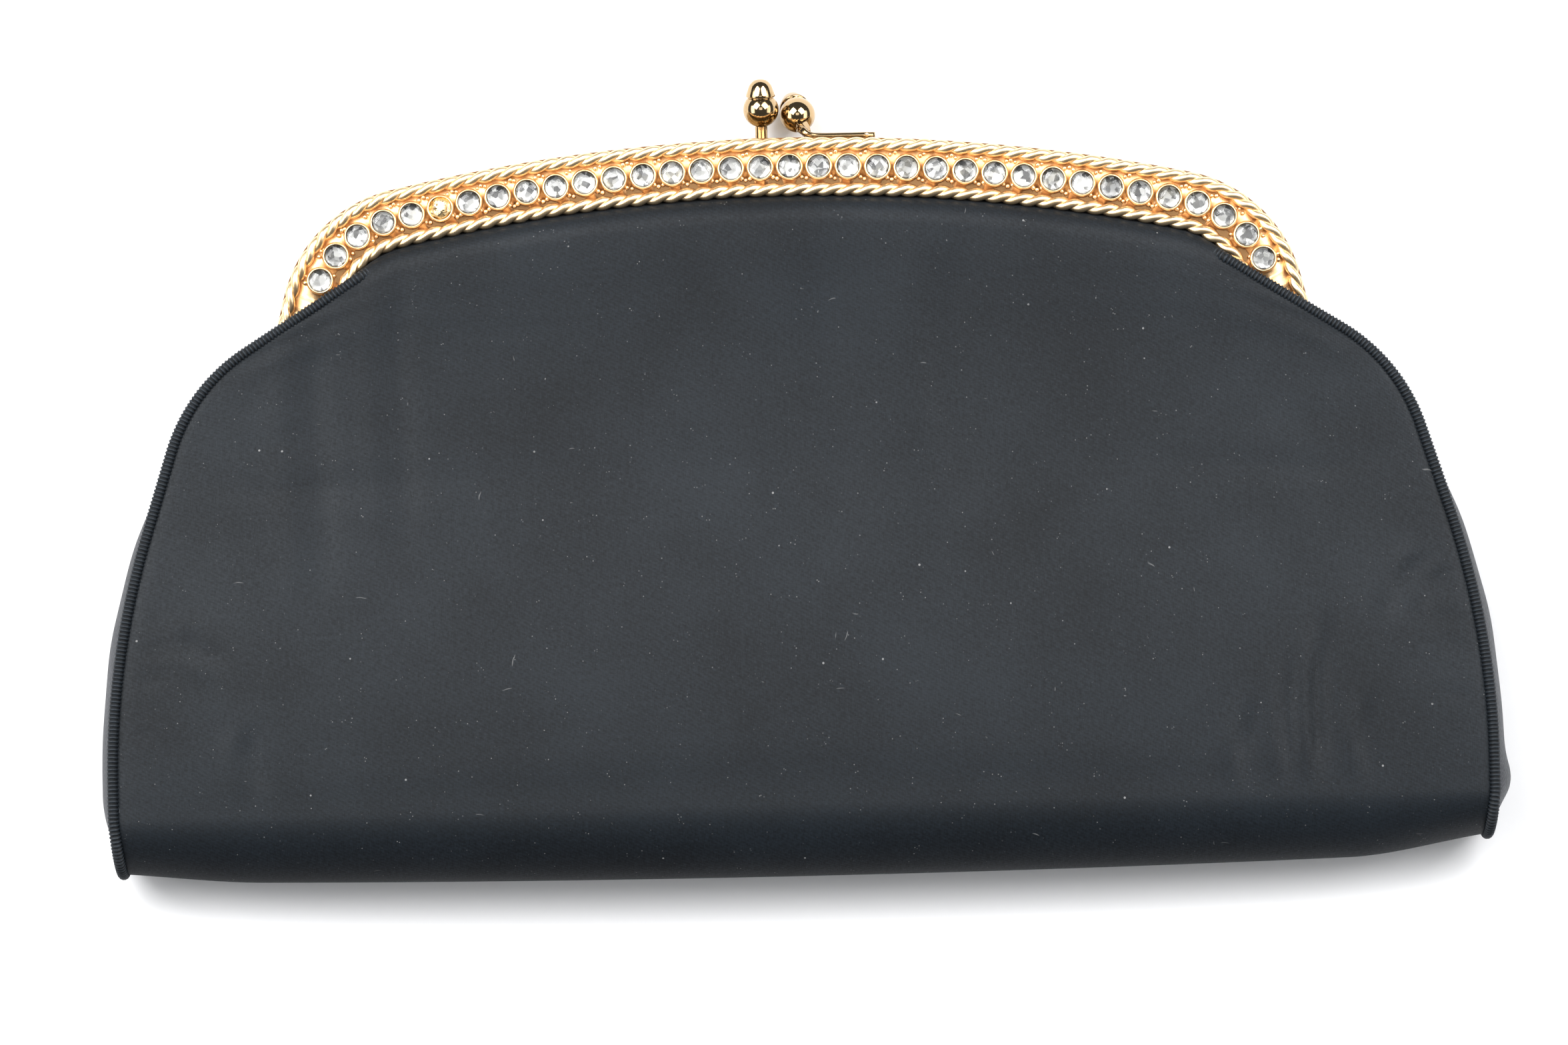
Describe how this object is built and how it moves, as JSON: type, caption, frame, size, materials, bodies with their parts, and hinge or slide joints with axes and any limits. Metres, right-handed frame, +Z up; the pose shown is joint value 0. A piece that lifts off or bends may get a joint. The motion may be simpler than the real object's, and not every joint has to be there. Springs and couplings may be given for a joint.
{
  "type": "clutch purse",
  "caption": "Evening clutch purse lying on its back: black satin bag with ribbed piping on a hinged kiss-lock frame with a jewelled rope trim.",
  "frame": {"origin": "centre of the bounding box in X and Y, on the surface that the purse's back lies on", "axes": "+X across the purse towards its right side seen from the front, +Y from the bottom fold towards the clasp, +Z up through the thickness towards the jewelled front"},
  "size_m": [0.2336, 0.1341, 0.024],
  "materials": {
    "satin": "duchess satin with a soft sheen",
    "gusset_satin": "satin, greyer where it turns to the side",
    "piping": "cross-ribbed grosgrain piping",
    "lining": "fine faille lining",
    "interlining": "felted interlining",
    "paper_cord": "twisted paper cord",
    "frame_brass": "aged polished brass",
    "clasp_brass": "polished antique brass",
    "trim_gold": "bright yellow gold plate",
    "rhinestone": "clear foiled rhinestone"
  },
  "bodies": {
    "rear_half": {"satin_shell": "satin", "satin_hinge_fold": "satin", "gusset_left": "gusset_satin", "gusset_right": "gusset_satin", "piping_left": "piping", "piping_right": "piping", "piping_hinge_fold": "piping", "lining_bag": "lining", "lining_hinge_fold": "lining", "inner_pocket": "lining", "interlining_shell": "interlining", "rear_channel_cord": "paper_cord", "rear_frame": "frame_brass", "hinge_rivet_left": "frame_brass", "hinge_rivet_right": "frame_brass", "rear_clasp_post": "clasp_brass", "rear_clasp_ball": "clasp_brass"},
    "front_half": {"satin_front_top": "satin", "interlining_front_top": "interlining", "lining_front_top": "lining", "piping_left_top": "piping", "piping_right_top": "piping", "front_channel_cord": "paper_cord", "front_frame": "frame_brass", "front_clasp_arm": "clasp_brass", "front_clasp_ball": "clasp_brass", "trim_base": "trim_gold", "rope_upper": "trim_gold", "rope_lower": "trim_gold", "bezels": "trim_gold", "rhinestones": "rhinestone", "gold_stud": "trim_gold", "seed_beads": "trim_gold"}
  },
  "joints": [
    {"name": "frame_open", "type": "hinge", "parent": "rear_half", "child": "front_half", "pos_m": [0, 0.0169, 0.0068], "axis": [1, 0, 0], "range_deg": [0, 60], "deforming": ["satin_hinge_fold", "lining_hinge_fold", "piping_hinge_fold"]}
  ]
}
